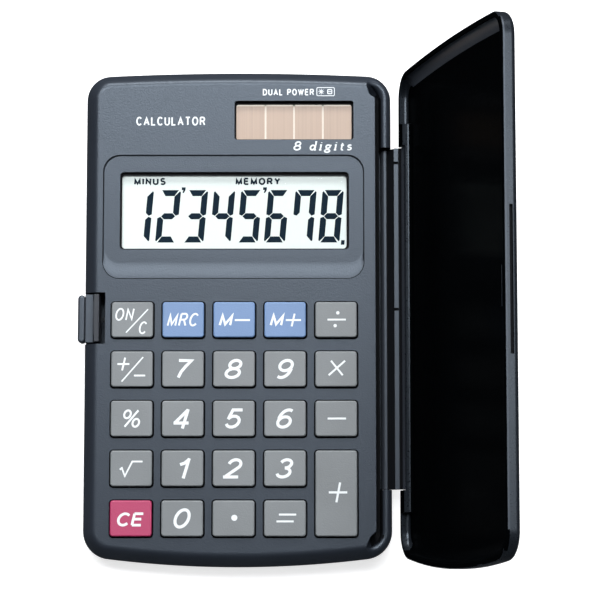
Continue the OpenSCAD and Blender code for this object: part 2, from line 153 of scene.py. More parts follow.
def grown_rect(low, high, radius, grow):
    """The same rectangle moved out by grow all round."""
    return rounded_rect((low[0] - grow, low[1] - grow), (high[0] + grow, high[1] + grow), radius + grow)


def circle(centre, radius, steps):
    """Points round a whole circle."""
    angles = [2 * math.pi * i / steps for i in range(steps)]
    return [(centre[0] + radius * math.cos(a), centre[1] + radius * math.sin(a)) for a in angles]


def quarter(steps):
    """(1 - sin, 1 - cos) over a quarter turn, for a rounded edge."""
    angles = [math.pi / 2 * i / steps for i in range(steps + 1)]
    return [(1 - math.sin(a), 1 - math.cos(a)) for a in angles]


def end_cap(crown, corner, depth_at):
    """One crowned end from right to left, as (x, y, blend).

    blend is 0 on the right side and 1 elsewhere. depth_at(blend) is how far the point is inside.
    """
    centre_y = HALF_L - crown
    corner_y = centre_y + math.sqrt((crown - corner) ** 2 - (HALF_W - corner) ** 2)
    turn = math.degrees(math.atan2(corner_y - centre_y, HALF_W - corner))
    points = []
    for i in range(CORNER_STEPS + 1):
        share = i / CORNER_STEPS
        blend = share ** CORNER_EASE
        r = corner - depth_at(blend)
        a = math.radians(turn * share)
        points.append((HALF_W - corner + r * math.cos(a), corner_y + r * math.sin(a), blend))
    for i in range(1, CROWN_STEPS):
        a = math.radians(turn + (180 - 2 * turn) * i / CROWN_STEPS)
        r = crown - depth_at(1)
        points.append((r * math.cos(a), centre_y + r * math.sin(a), 1))
    for i in range(CORNER_STEPS, -1, -1):
        a = math.radians(turn * i / CORNER_STEPS)
        r = corner - depth_at(1)
        points.append((corner - HALF_W - r * math.cos(a), corner_y + r * math.sin(a), 1))
    return points


def body_ring(plain, right=None, bulge=0.0):
    """The body's outline as 3-D points, counter-clockwise from the lower end of the top right corner.

    plain and right are (depth, height) on the plain sides and on the right side. bulge cuts the right
    corners deeper.
    """
    right = right or plain

    def depth_at(blend):
        cut = bulge * 4 * math.sqrt(blend) * (1 - math.sqrt(blend))
        return right[0] + (plain[0] - right[0]) * blend + cut

    def height_at(blend):
        return right[1] + (plain[1] - right[1]) * blend

    top = end_cap(TOP_CROWN, TOP_CORNER, depth_at)
    bottom = [(x, -y, b) for x, y, b in reversed(end_cap(BOTTOM_CROWN, BOTTOM_CORNER, depth_at))]
    return [(x, y, height_at(b)) for x, y, b in top + bottom]


def flat_ring(points, z):
    """Flat points at one height."""
    return [(x, y, z) for x, y in points]


# ---- meshes
def loft(rings, hoop=False):
    """Vertices and faces of a closed skin through rings that have the same number of points.

    A hoop's last ring joins the first; otherwise a flat face closes each end.
    """
    n, count = len(rings[0]), len(rings)
    verts = [p for ring in rings for p in ring]
    faces = []
    for k in range(count if hoop else count - 1):
        this, following = k * n, (k + 1) % count * n
        for i in range(n):
            j = (i + 1) % n
            faces.append((this + i, this + j, following + j, following + i))
    if not hoop:
        faces.append(tuple(range(n - 1, -1, -1)))
        faces.append(tuple(range((count - 1) * n, count * n)))
    return verts, faces


def merged(parts):
    """Several (vertices, faces) as one."""
    verts, faces = [], []
    for part_verts, part_faces in parts:
        base = len(verts)
        verts += part_verts
        faces += [tuple(base + i for i in face) for face in part_faces]
    return verts, faces


def moved(part, matrix):
    """A part turned and shifted by a matrix in millimetres."""
    verts, faces = part
    return [tuple(matrix @ Vector(v)) for v in verts], faces


def object_of(name, part, material=None):
    """An object made from a part in millimetres."""
    verts, faces = part
    mesh = bpy.data.meshes.new(name)
    mesh.from_pydata([Vector(v) * MM for v in verts], [], faces)
    mesh.validate()
    if material:
        mesh.materials.append(material)
    obj = bpy.data.objects.new(name, mesh)
    SCENE.collection.objects.link(obj)
    return obj


def apply_modifiers(obj):
    """Replaces the object's mesh by the one its modifiers give."""
    graph = bpy.context.evaluated_depsgraph_get()
    graph.update()
    done = bpy.data.meshes.new_from_object(obj.evaluated_get(graph))
    obj.modifiers.clear()
    old = obj.data
    obj.data = done
    bpy.data.meshes.remove(old)


def boolean(obj, parts, operation="DIFFERENCE", material=None, place=Matrix()):
    """Cuts the parts, moved by place, from the object, or joins them to it.

    The new faces can get a material of their own.
    """
    tool = object_of("tool", moved(merged(parts), place), material)
    modifier = obj.modifiers.new("cut", "BOOLEAN")
    modifier.material_mode = "TRANSFER" if material else "INDEX"
    modifier.operation = operation
    modifier.solver = "EXACT"
    modifier.object = tool
    apply_modifiers(obj)
    bpy.data.objects.remove(tool)


def paint(obj, material, test, over=None, place=Matrix()):
    """Gives a material to the faces whose centre, in millimetres and in the axes of place, passes the test.

    over limits it to the faces that have that material.
    """
    mesh = obj.data
    if mesh.materials.find(material.name) < 0:
        mesh.materials.append(material)
    slot = mesh.materials.find(material.name)
    under = None if over is None else mesh.materials.find(over.name)
    inverse = place.inverted()
    for face in mesh.polygons:
        if under in (None, face.material_index) and test(inverse @ (face.center / MM)):
            face.material_index = slot


def finish_mesh(obj, body):
    """Smooth shading with crisp edges and flat large faces, and the body that the object rides on."""
    mesh = obj.data
    mesh.polygons.foreach_set("use_smooth", [face.area < FLAT_AREA for face in mesh.polygons])
    mesh.set_sharp_from_angle(angle=math.radians(SHARP_ANGLE))
    normals = obj.modifiers.new("normals", "WEIGHTED_NORMAL")
    normals.keep_sharp = True
    normals.weight = 80
    mesh.update()
    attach(obj, body)
    return obj


def piece(name, part, material, body):
    """A finished object of one material."""
    return finish_mesh(object_of(name, part, material), body)


def cutter(low, high, radius, z0, z1, lip):
    """A hole's cutting block, flared by lip where it opens at height z1."""
    rings = [flat_ring(grown_rect(low, high, radius, 0), z0),
             flat_ring(grown_rect(low, high, radius, 0), z1 - lip),
             flat_ring(grown_rect(low, high, radius, lip * 0.3), z1 - lip * 0.4),
             flat_ring(grown_rect(low, high, radius, lip), z1),
             flat_ring(grown_rect(low, high, radius, lip), z1 + 1)]
    return loft(rings)


def rounded_block(low, high, corner, edge, steps=4):
    """A block with round upright corners and round top and bottom edges."""
    rings = []
    for side, end in quarter(steps):
        rings.append(flat_ring(grown_rect(low, high, corner, -edge * side), low[2] + edge * end))
    for end, side in quarter(steps):
        rings.append(flat_ring(grown_rect(low, high, corner, -edge * side), high[2] - edge * end))
    return loft(rings)


def lathe(profile, at, steps=32):
    """A turned solid from a profile of (radius, height), upright at a place."""
    return loft([flat_ring(circle(at, radius, steps), z) for radius, z in profile])


def along_y(x, z, radius, y0, y1):
    """A cylinder along Y."""
    section = circle((0, 0), radius, 24)
    return loft([[(x + u, y, z - v) for u, v in section] for y in (y0, y1)])


def flat_rect(x0, y0, x1, y1):
    """A flat rectangle at height 0."""
    return [(x0, y0, 0), (x1, y0, 0), (x1, y1, 0), (x0, y1, 0)], [(0, 1, 2, 3)]


# ---- materials
def shader(name, colour, roughness, **sockets):
    """A Principled material, its node tree, and its shader node."""
    material = bpy.data.materials.new(name)
    material.use_nodes = True
    tree = material.node_tree
    bsdf = tree.nodes["Principled BSDF"]
    bsdf.inputs["Base Color"].default_value = (*colour, 1)
    bsdf.inputs["Roughness"].default_value = roughness
    for key, value in sockets.items():
        bsdf.inputs[key.replace("_", " ")].default_value = value
    return material, tree, bsdf


def noise(tree, scale, detail=3.0, stretch=(1, 1, 1)):
    """A noise texture in object space."""
    place = tree.nodes.new("ShaderNodeTexCoord")
    mapping = tree.nodes.new("ShaderNodeMapping")
    mapping.inputs["Scale"].default_value = stretch
    texture = tree.nodes.new("ShaderNodeTexNoise")
    texture.inputs["Scale"].default_value = scale
    texture.inputs["Detail"].default_value = detail
    tree.links.new(place.outputs["Object"], mapping.inputs["Vector"])
    tree.links.new(mapping.outputs["Vector"], texture.inputs["Vector"])
    return texture.outputs["Fac"]


def colour_by(tree, bsdf, value, stops):
    """Colours the surface by a value; stops are (position, colour)."""
    node = tree.nodes.new("ShaderNodeValToRGB")
    elements = node.color_ramp.elements
    while len(elements) < len(stops):
        elements.new(0.5)
    for element, (position, colour) in zip(elements, stops):
        element.position = position
        element.color = (*colour, 1)
    tree.links.new(value, node.inputs["Fac"])
    tree.links.new(node.outputs["Color"], bsdf.inputs["Base Color"])


def roughness_by(tree, bsdf, value, low, high):
    """Makes the roughness run from low to high over a noise value's middle range."""
    node = tree.nodes.new("ShaderNodeMapRange")
    node.inputs["From Min"].default_value = 0.3
    node.inputs["From Max"].default_value = 0.7
    node.inputs["To Min"].default_value = low
    node.inputs["To Max"].default_value = high
    tree.links.new(value, node.inputs["Value"])
    tree.links.new(node.outputs["Result"], bsdf.inputs["Roughness"])


def bump(tree, bsdf, value, strength, distance):
    """Surface relief; the distance is in metres."""
    node = tree.nodes.new("ShaderNodeBump")
    node.inputs["Strength"].default_value = strength
    node.inputs["Distance"].default_value = distance
    tree.links.new(value, node.inputs["Height"])
    tree.links.new(node.outputs["Normal"], bsdf.inputs["Normal"])


def tinted(colour, factor):
    """A colour made lighter or darker."""
    return tuple(c * factor for c in colour)


def moulded(name, colour, roughness, grain, grain_scale=4200.0, spot=0.06, **sockets):
    """Moulded plastic: a fine spark-eroded grain, slow colour and gloss drift."""
    material, tree, bsdf = shader(name, colour, roughness, **sockets)
    drift = noise(tree, 90.0, 4.0)
    colour_by(tree, bsdf, drift, ((0.3, tinted(colour, 1 - spot)), (0.7, tinted(colour, 1 + spot))))
    fine = noise(tree, grain_scale, 2.0)
    roughness_by(tree, bsdf, fine, roughness - 0.04, roughness + 0.05)
    bump(tree, bsdf, fine, grain, GRAIN_HEIGHT)
    return material


BLUE_SHEEN = (0.74, 0.86, 1.0, 1)
CASE = moulded("case_plastic", (0.013, 0.016, 0.022), 0.37, 0.9, 3300.0, Specular_Tint=BLUE_SHEEN)
# Painted shade: a near-black, barely glossy plastic for channels, hole walls, gaps, the link's web and the
# keys' sides, where shade falls.
PAINTED_SHADE = moulded("painted_shade_plastic", (0.003, 0.0034, 0.0045), 0.6, 0.2, Specular_IOR_Level=0.06)
COVER = moulded("cover_plastic", (0.006, 0.0075, 0.010), 0.3, 0.12, 2500.0, Specular_Tint=BLUE_SHEEN)
# Painted shade: a near-black, almost unreflecting copy of the cover plastic for the cover's inside and rim.
COVER_SHADE = moulded("cover_painted_shade", (0.0006, 0.0008, 0.001), 0.2, 0.02, 900.0, Specular_IOR_Level=0.0012)
SHADED = moulded("shaded_plastic", (0.020, 0.023, 0.029), 0.42, 0.15, Specular_IOR_Level=0.22)
HINGE = moulded("hinge_plastic", (0.020, 0.023, 0.029), 0.36, 0.15, Specular_Tint=BLUE_SHEEN)
KEY_GREY = moulded("key_grey", (0.121, 0.132, 0.139), 0.5, 1.0, 3000.0)
KEY_BLUE = moulded("key_blue", (0.096, 0.166, 0.304), 0.5, 1.0, 3000.0)
KEY_PINK = moulded("key_pink", (0.280, 0.018, 0.074), 0.5, 1.0, 3000.0)


def ink(name, colour, roughness=0.55, gloss=0.5):
    """Printed ink with a slightly uneven film."""
    material, tree, bsdf = shader(name, colour, roughness, Specular_IOR_Level=gloss)
    film = noise(tree, 2600.0, 3.0)
    colour_by(tree, bsdf, film, ((0.35, tinted(colour, 0.93)), (0.6, colour)))
    bump(tree, bsdf, film, 0.15, FILM_HEIGHT)
    return material


WHITE_INK = ink("white_ink", (0.57, 0.60, 0.62))
LCD_INK = ink("lcd_segment", (0.006, 0.013, 0.022), 0.8, 0.05)
# part print, part painted shade: black frames drawn wider where the windows' hole walls shade them
BORDER_AND_SHADE = ink("window_border_and_shade", (0.003, 0.003, 0.004), 0.5, 0.06)


def lcd_glass():
    """Pale reflective LCD with a very fine diffusing grain."""
    colour = (0.545, 0.560, 0.558)
    material, tree, bsdf = shader("lcd_face", colour, 0.6)
    grain = noise(tree, 5000.0, 2.0)
    colour_by(tree, bsdf, grain, ((0.3, tinted(colour, 0.97)), (0.7, tinted(colour, 1.02))))
    bump(tree, bsdf, grain, 0.1, FILM_HEIGHT)
    return material


def clear_plastic():
    """Clear window: mostly see-through, with a Fresnel sheen."""
    material = bpy.data.materials.new("clear_window")
    material.use_nodes = True
    tree = material.node_tree
    tree.nodes.clear()
    output = tree.nodes.new("ShaderNodeOutputMaterial")
    mix = tree.nodes.new("ShaderNodeMixShader")
    clear = tree.nodes.new("ShaderNodeBsdfTransparent")
    clear.inputs["Color"].default_value = (0.97, 0.985, 0.98, 1)
    gloss = tree.nodes.new("ShaderNodeBsdfGlossy")
    gloss.inputs["Roughness"].default_value = 0.04
    fresnel = tree.nodes.new("ShaderNodeFresnel")
    fresnel.inputs["IOR"].default_value = 1.05
    scratches = noise(tree, 900.0, 4.0, stretch=(1, 6, 1))
    bump(tree, gloss, scratches, 0.03, FILM_HEIGHT)
    tree.links.new(fresnel.outputs["Fac"], mix.inputs["Fac"])
    tree.links.new(clear.outputs["BSDF"], mix.inputs[1])
    tree.links.new(gloss.outputs["BSDF"], mix.inputs[2])
    tree.links.new(mix.outputs["Shader"], output.inputs["Surface"])
    return material


def solar_face():
    """Amorphous cell behind glass: pale tan with fine upright lines."""
    base = (0.262, 0.182, 0.130)
    material, tree, bsdf = shader("solar_cell", base, 0.5, Coat_Weight=0.2, Coat_Roughness=0.1)
    lines = noise(tree, 4200.0, 1.0, stretch=(1, 0.002, 1))
    colour_by(tree, bsdf, lines, ((0.3, tinted(base, 0.93)), (0.5, base), (0.7, tinted(base, 1.06))))
    bump(tree, bsdf, lines, 0.05, FILM_HEIGHT)
    return material


def metal(name, colour, roughness):
    """Plated metal with fine drawn lines."""
    material, tree, bsdf = shader(name, colour, roughness, Metallic=1.0)
    lines = noise(tree, 1600.0, 3.0, stretch=(1, 12, 1))
    roughness_by(tree, bsdf, lines, roughness - 0.08, roughness + 0.1)
    colour_by(tree, bsdf, lines, ((0.3, tinted(colour, 0.85)), (0.7, colour)))
    bump(tree, bsdf, lines, 0.1, FILM_HEIGHT)
    return material


LCD_FACE = lcd_glass()
CLEAR = clear_plastic()
SOLAR = solar_face()
SOLAR_LINE = ink("solar_divider", (0.50, 0.44, 0.38))
STEEL = metal("steel", (0.62, 0.63, 0.65), 0.3)
SPRING_STEEL = metal("spring_steel", (0.10, 0.10, 0.105), 0.5)
BRASS = metal("brass", (0.72, 0.52, 0.25), 0.3)
RUBBER = moulded("keypad_rubber", (0.05, 0.05, 0.052), 0.7, 0.3)
BOARD = moulded("circuit_board", (0.02, 0.13, 0.05), 0.4, 0.1, 1200.0, 0.25)
EPOXY = moulded("epoxy", (0.012, 0.012, 0.013), 0.25, 0.05, 300.0)
HOLDER = moulded("lcd_holder", (0.7, 0.7, 0.69), 0.5, 0.2)
GLASS_EDGE = moulded("lcd_glass", (0.55, 0.6, 0.6), 0.15, 0.02)
WIRE = moulded("lead_insulation", (0.35, 0.03, 0.025), 0.5, 0.1)


# ---- camera, light and floor
def add_camera():
    """The photo's view: from above, a little towards the body's lower end."""
    data = bpy.data.cameras.new("camera")
    camera = bpy.data.objects.new("camera", data)
    SCENE.collection.objects.link(camera)
    place = Vector((15.59, -48.57, 483.1)) * MM
    target = Vector((13.33, 3.99, 4.0)) * MM
    forward = (target - place).normalized()
    right = forward.cross(Vector((0, 1, 0))).normalized()
    camera.matrix_world = Matrix((right, right.cross(forward), -forward)).transposed().to_4x4()
    camera.location = place
    data.lens = 133.5
    data.sensor_width = 36
    data.clip_start = 0.01
    SCENE.camera = camera


def add_light(name, place, target, size, power, colour=(1, 1, 1)):
    """A rectangular area light aimed at a point, in metres."""
    data = bpy.data.lights.new(name, "AREA")
    data.shape = "RECTANGLE"
    data.size, data.size_y = size
    data.energy = power
    data.color = colour
    light = bpy.data.objects.new(name, data)
    SCENE.collection.objects.link(light)
    light.location = place
    light.rotation_euler = (Vector(target) - Vector(place)).to_track_quat("-Z", "Y").to_euler()


def add_stage():
    """A dim bluish world, four soft lights and a pale floor."""
    world = bpy.data.worlds.new("world")
    world.use_nodes = True
    background = world.node_tree.nodes["Background"]
    background.inputs["Color"].default_value = (0.8, 0.88, 1.0, 1)
    background.inputs["Strength"].default_value = 0.06
    SCENE.world = world
    SCENE.view_settings.view_transform = "Standard"
    add_light("softbox", (0.03, 0.33, 0.80), (0, 0.02, 0), (0.74, 0.34), 9.2, (0.96, 0.98, 1.0))
    add_light("key_light", (-0.35, 0.30, 0.75), (0, 0, 0), (0.16, 0.16), 1.3)
    add_light("right_light", (0.46, 0.12, 0.72), (0.03, 0, 0.03), (0.26, 0.5), 2.0)
    add_light("top_light", (0.0, 0.95, 0.55), (0, 0.05, 0), (0.8, 0.3), 14.0)
    half = 3.0 / MM
    floor = object_of("floor", flat_rect(-half, -half, half, half))
    grey = (0.6, 0.6, 0.6)
    material, tree, bsdf = shader("floor", grey, 0.9, Emission_Strength=0.72)
    colour_by(tree, bsdf, noise(tree, 3.0), ((0.3, tinted(grey, 0.983)), (0.7, tinted(grey, 1.017))))
    bsdf.inputs["Emission Color"].default_value = (1, 1, 1, 1)
    floor.data.materials.append(material)
    floor.visible_glossy = False


# ---- the two cases
# (depth, height) from the parting line up: on the plain sides, then on the hinge side with its rail
# and channel
PROFILE = (
    ((0.15, 2.22), (0.15, 2.22)), ((0.02, 2.34), (0.02, 2.34)), ((0.0, 3.0), (0.0, 3.0)),
    ((0.0, 5.7), (0.0, 5.8)), ((0.06, 6.15), (0.1, 6.4)), ((0.25, 6.6), (0.32, 6.85)),
    ((0.55, 7.05), (0.7, 7.2)), ((0.9, 7.5), (1.15, 7.34)), ((1.25, 7.9), (1.6, 7.28)),
    ((1.55, 8.2), (2.0, 7.0)), ((1.8, 8.42), (2.28, 6.6)), ((2.0, 8.57), (2.42, 6.0)),
    ((2.2, 8.69), (2.5, 5.0)), ((2.4, 8.78), (3.2, 4.9)), ((2.6, 8.84), (3.3, 5.4)),
    ((2.8, 8.875), (3.38, 8.7)), ((3.0, 8.893), (3.44, 8.85)), ((3.2, 8.9), (3.6, 8.9)))


def dish_cutter():
    """The shallow recess round the display, with a soft ramp at its lower end."""
    slope, steps = 8, 10
    rings = []
    for i in range(slope + 1):
        share = i / slope
        smooth = share * share * (3 - 2 * share)
        side = 0.22 - 0.17 * share
        ramp = 0.05 + DISH_RAMP * (1 - share)
        ring = rounded_rect((DISH_LOW[0] + side, DISH_LOW[1] + ramp),
                            (DISH_HIGH[0] - side, DISH_HIGH[1] - side), DISH_CORNER - 0.05, steps)
        rings.append(flat_ring(ring, FACE_Z - DISH_DEPTH + (DISH_DEPTH - DISH_LIP) * smooth))
    for z in (FACE_Z, FACE_Z + 1):
        rings.append(flat_ring(rounded_rect(DISH_LOW, DISH_HIGH, DISH_CORNER, steps), z))
    return loft(rings)


def dish_shade_line():
    """Cutter for the fine groove round the recess, whose faces get painted shade as a dark line."""
    out, below, inward, steps = 0.04, 0.06, 0.1, 10
    outer = rounded_rect((DISH_LOW[0] - out, DISH_LOW[1] - below), (DISH_HIGH[0] + out, DISH_HIGH[1] + out),
                         DISH_CORNER + out, steps)
    inner = rounded_rect((DISH_LOW[0] + inward, DISH_LOW[1] + inward),
                         (DISH_HIGH[0] - inward, DISH_HIGH[1] - inward), DISH_CORNER - inward, steps)
    low, high = FACE_Z - 0.3, FACE_Z + 0.5
    return loft([flat_ring(outer, low), flat_ring(outer, high), flat_ring(inner, high),
                 flat_ring(inner, low)], hoop=True)


def in_channel_shade(centre):
    """True for the faces of the channel beside the rail, which get painted shade; the shaded band narrows to
    nothing round the corners.
    """
    rail, narrowing = 1.9, 3.6
    floor_z, top_z, left = 4, 7.2, 24
    up = abs(centre.y) - HALF_L + BOTTOM_CORNER
    side, limit = HALF_W - centre.x, rail
    if up > 0:
        across = max(centre.x - HALF_W + BOTTOM_CORNER, 0)
        side = BOTTOM_CORNER - math.hypot(across, up)
        limit += narrowing * math.atan2(up, across)
    return floor_z < centre.z < top_z and centre.x > left and side > limit


def key_holes():
    """Cutters for the key holes, with the gap that shows on each side of a cap."""
    left, below, right, above = 0.24, 0.34, 0.28, 0.18
    holes = []
    for name in KEY_NAMES:
        low, high = node_box(name)
        holes.append(cutter((low.x + FLANGE - left, low.y + FLANGE - below),
                            (high.x - FLANGE + right, high.y - FLANGE + above),
                            0.85, PLATE_Z - 1, FACE_Z, 0.05))
    return holes


def window_hole(name, ledge, corner, top, lip):
    """Cutter for a window's hole; the window is wider than the hole by a ledge all round."""
    low, high = node_box(name)
    return cutter((low.x + ledge, low.y + ledge), (high.x - ledge, high.y - ledge), corner, PLATE_Z - 1,
                  top, lip)


def notch_block(left):
    """Cutter for the notch that the link lies in."""
    return rounded_block((left, NOTCH_Y[0], -1), (OUTSIDE, NOTCH_Y[1], ABOVE), 0.3, 0.1)


def top_case():
    """The upper shell with the display's recess and the holes for keys, windows, hinge and latch."""
    channel_side = 3  # rings deeper than this on the hinge side lie inside the channel
    rings = []
    for plain, right in PROFILE:
        rings.append(body_ring(plain, right, 0.9 if right[0] > channel_side else 0.0))
    obj = object_of("case_top", loft(rings), CASE)
    insets = ((TOP_WALL, SPLIT_Z - 1), (TOP_WALL, 6.0), (SHOULDER_WALL, PLATE_Z))
    cavity = loft([body_ring((wall, z), (HINGE_WALL, z)) for wall, z in insets])
    # Painted shade goes on the case's inside, the walls of the key and window holes, the notch, the latch
    # pocket and the bore.
    boolean(obj, [cavity], material=PAINTED_SHADE)
    boolean(obj, [dish_cutter()])
    boolean(obj, [dish_shade_line()], material=PAINTED_SHADE)
    boolean(obj, key_holes() + [window_hole("solar_panel", SOLAR_LEDGE, 0.5, FACE_Z, 0.08)], material=PAINTED_SHADE)
    latch_pocket = rounded_block((-OUTSIDE, -5.95, 3.6), (-28.4, 5.15, ABOVE), 0.3, 0.1)
    window = window_hole("display_window", WINDOW_LEDGE, 0.8, FACE_Z - DISH_DEPTH, 0.1)
    bore = along_y(PIVOT.x, PIVOT.z, BORE, NOTCH_Y[0] - BORE_LENGTH, NOTCH_Y[1] + BORE_LENGTH)
    boolean(obj, [window, notch_block(NOTCH_LEFT), latch_pocket, bore], material=PAINTED_SHADE)
    # painted shade on the channel beside the rail
    paint(obj, PAINTED_SHADE, in_channel_shade)
    finish_mesh(obj, "case")
    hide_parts("top_case")


def rear_case():
    """The lower shell with a rounded edge, the panel on its back and the sunk screw holes."""
    edge = 1.2
    rings = [body_ring((edge * side, edge * end)) for side, end in quarter(6)]
    rings += [body_ring((0.0, SPLIT_Z - 0.14)), body_ring((0.12, SPLIT_Z - 0.02))]
    obj = object_of("case_rear", loft(rings), CASE)
    boolean(obj, [loft([body_ring((CASE_WALL, z), (HINGE_WALL, z)) for z in (CASE_WALL, 5.0)])])
    panel_cut = [flat_ring(rounded_rect((-17.15, 16.85), (17.15, 35.15), 2.1, 8), -0.5),
                 flat_ring(rounded_rect((-17, 17), (17, 35), 2, 8), 0.15)]
    cuts = [notch_block(SILL_RIGHT), loft(panel_cut)]
    head_recess = [(1.95, -0.5), (1.95, 0), (1.75, 0.15), (1.75, 1.0)]
    screw_hole = [(0.85, 0.9), (0.85, 3)]
    for at in screw_places():
        cuts += [lathe(head_recess, at), lathe(screw_hole, at, 20)]
    boolean(obj, cuts)
    finish_mesh(obj, "case")
    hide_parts("rear_case")


def screw_places():
    """Centres of the case screws: the four clusters of the screw node's vertices."""
    verts = [v.co / MM for v in frame["nodes"]["case_screws"].data.vertices]
    places = []
    for sx in (-1, 1):
        for sy in (-1, 1):
            group = [v for v in verts if v.x * sx > 0 and v.y * sy > 0]
            places.append(((min(v.x for v in group) + max(v.x for v in group)) / 2,
                           (min(v.y for v in group) + max(v.y for v in group)) / 2))
    return places


def case_screws():
    """The screws in the back, with a cross in the head."""
    profile = [(0.9, 0.15), (1.35, 0.22), (1.5, 0.4), (1.5, 0.95), (0.7, 1.0), (0.7, 6.0)]
    slot = rounded_block((-0.95, -0.18, -0.5), (0.95, 0.18, 0.45), 0.1, 0.02, 2)
    tilt = 20
    places = screw_places()
    obj = object_of("screws_rear", merged([lathe(profile, at) for at in places]), STEEL)
    for turn in (tilt, tilt + 90):
        rotation = Matrix.Rotation(math.radians(turn), 4, "Z")
        boolean(obj, [moved(slot, Matrix.Translation((*at, 0.1)) @ rotation) for at in places])
    finish_mesh(obj, "case")
    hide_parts("case_screws")


# ---- hinge and cover
LINK_MATRIX = Matrix.Translation((PIVOT.x, 0, PIVOT.z)) @ Matrix.Rotation(-LINK_ANGLE, 4, "Y")
COVER_MATRIX = (Matrix.Translation((JOINT.x, 0, JOINT.z)) @ Matrix.Rotation(-COVER_ANGLE, 4, "Y")
                @ Matrix.Translation((HALF_W - EDGE_TO_PIVOT, 0, -FACE_TO_PIVOT)))


def link_section(shrink):
    """Cross-section of the link in its own x (pivot to pivot) and z, clockwise seen along +Y."""
    r = 1.05 - shrink
    web_low, web_high = -0.65 + shrink, 0.45 - shrink
    rib_low, rib_high, rib_top = 3.05 + shrink, 3.85 - shrink, 0.98 - shrink
    low_angle = math.degrees(math.asin(-web_low / r))
    high_angle = math.degrees(math.asin(web_high / r))
    points = arc((0, 0), r, high_angle, 360 - low_angle, 22)
    points += arc((LINK_PITCH, 0), r, -180 + low_angle, 180 - high_angle, 22)
    points += [(rib_high + 0.1, web_high), (rib_high, web_high + 0.04), (rib_low + 0.1, rib_top - 0.02),
               (rib_low + 0.02, rib_top), (rib_low - 0.06, rib_top - 0.04), (rib_low - 0.08, web_high)]
    return points


def hinge_link():
    """The bar with a barrel along each pivot, bored from both ends for the pins."""
    low, high = node_box("hinge_link")
    bevel = ((0, 0.12), (0.04, 0.05), (0.12, 0))
    ends = [(low.y + along, shrink) for along, shrink in bevel]
    ends += [(high.y - along, shrink) for along, shrink in reversed(bevel)]
    rings = [[(x, y, z) for x, z in reversed(link_section(shrink))] for y, shrink in ends]
    obj = object_of("link", moved(loft(rings), LINK_MATRIX), HINGE)
    bore, bore_length = 0.55, 4.2
    cuts = []
    for x in (0, LINK_PITCH):
        cuts.append(along_y(x, 0, bore, low.y - 1, low.y + bore_length))
        cuts.append(along_y(x, 0, bore, high.y - bore_length, high.y + 1))
    for rib_joint in (high.y - 3.2, high.y - 35.1):
        cuts.append(rounded_block((2.8, rib_joint - 0.3, 0.5), (4.0, rib_joint + 0.3, 1.5), 0.1, 0.02, 2))
    # the bores and rib joints get painted shade
    boolean(obj, cuts, material=PAINTED_SHADE, place=LINK_MATRIX)
    barrel, rib = 0.75, (2.99, 3.87)

    def in_shaded_web(centre):
        return barrel < centre.x < rib[0] or rib[1] < centre.x < LINK_PITCH - barrel

    # painted shade on the web between the barrels and the rib
    paint(obj, PAINTED_SHADE, in_shaded_web, place=LINK_MATRIX)
    finish_mesh(obj, "link")
    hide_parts("hinge_link")


def cover_ring(plain, hinge=None, step=0.0):
    """Cover outline seen from its open side, hinge edge at the left; step goes round the hinge notch."""
    hinge = hinge or plain
    ring = [(-x, y, z) for x, y, z in reversed(body_ring(plain, hinge))]
    if step:
        edge_x = hinge[0] - HALF_W
        y_low, y_top = COVER_NOTCH_Y[0] - END_BLOCK, COVER_NOTCH_Y[1] + END_BLOCK
        ring += [(edge_x, y_top, hinge[1]), (edge_x + step, y_top - 0.4, hinge[1]),
                 (edge_x + step, y_low + 0.4, hinge[1]), (edge_x, y_low, hinge[1])]
    return ring


def cover_blank():
    """The cover's outer form, filled: a rounded outer edge and a softened rim."""
    edge = 1.1
    rim = ((0.0, RIM_LINE), (0.0, COVER_DEPTH - 0.32), (0.06, COVER_DEPTH - 0.12),
           (0.2, COVER_DEPTH - 0.02), (0.34, COVER_DEPTH))
    rings = [cover_ring((edge * side, edge * end)) for side, end in quarter(7)]
    return loft(rings + [cover_ring(at) for at in rim])


def cover_hollow():
    """The tray inside, with a wide flat cove along the plain walls and a small one at the hinge."""
    flare = 0.15
    rings = []
    for side, end in quarter(7):
        rings.append(cover_ring((COVER_WALL + COVE * side, COVER_WALL + 0.5 * COVE * end),
                                (COVER_WALL + HINGE_COVE * side, COVER_WALL + HINGE_COVE * end), BLOCK_STEP))
    for at in ((COVER_WALL, COVER_DEPTH - flare), (COVER_WALL - flare, COVER_DEPTH),
               (COVER_WALL - flare, COVER_DEPTH + 1)):
        rings.append(cover_ring(at, at, BLOCK_STEP))
    return loft(rings)


def pivot_rod(radius, y0, y1):
    """A cylinder on the cover's pivot, in the cover's own axes."""
    return along_y(EDGE_TO_PIVOT - HALF_W, FACE_TO_PIVOT, radius, y0, y1)


def paint_cover(obj):
    """Painted shade on the free rim, the plain cover plastic on the hinge side, and a painted highlight of
    greyer plastic in the upper cove.
    """

    def on_shaded_rim(centre):
        return centre.x > HALF_W - COVER_WALL - 0.3 and centre.z > RIM_LINE

    def on_hinge_side(centre):
        return centre.x < COVER_NOTCH_U + 0.85 - HALF_W and centre.z > COVER_WALL + 0.04

    def on_cove_highlight(centre):
        in_height = COVER_WALL + 0.02 < centre.z < COVER_DEPTH - 0.4
        return in_height and centre.y > 0 and centre.x > 3 - HALF_W

    # painted shade along the free rim
    paint(obj, COVER_SHADE, on_shaded_rim, place=COVER_MATRIX)
    paint(obj, COVER, on_hinge_side, place=COVER_MATRIX)
    # a painted highlight: greyer hinge plastic over the painted shade in the upper cove
    paint(obj, HINGE, on_cove_highlight, COVER_SHADE, COVER_MATRIX)


